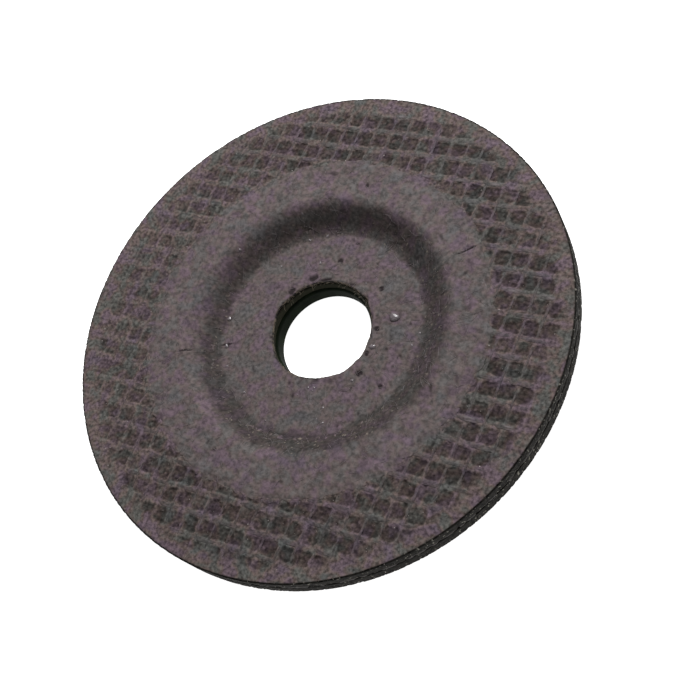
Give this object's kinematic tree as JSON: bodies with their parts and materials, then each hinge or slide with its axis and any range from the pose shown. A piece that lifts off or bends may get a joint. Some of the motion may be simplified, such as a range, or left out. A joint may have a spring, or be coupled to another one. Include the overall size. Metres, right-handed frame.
{
  "type": "depressed-centre grinding wheel",
  "caption": "Dished resin-bonded grinding wheel for an angle grinder, with exposed glass-fibre mesh, a recessed hub and a steel-lined centre hole.",
  "frame": {"origin": "centre of the bore on the rear hub face, which is the lowest point of the wheel", "axes": "+Z along the wheel's axis towards the hollow working side; X and Y along the two thread directions of the glass mesh"},
  "size_m": [0.115, 0.115, 0.0106],
  "materials": {
    "facing_fleece": "matt resin-soaked fleece",
    "glass_mesh": "resin-coated glass rovings",
    "abrasive": "coarse resin-bonded grain",
    "blotter_paper": "matt, unprinted",
    "dark_steel": "darkened, half matt"
  },
  "bodies": {
    "root": {"front_hub_facing": "facing_fleece", "front_mesh": "glass_mesh", "abrasive_layer_front": "abrasive", "middle_mesh": "glass_mesh", "abrasive_layer_rear": "abrasive", "hub_reinforcement": "glass_mesh", "rear_mesh": "glass_mesh", "rear_blotter": "blotter_paper", "arbor_ring": "dark_steel"}
  },
  "joints": []
}
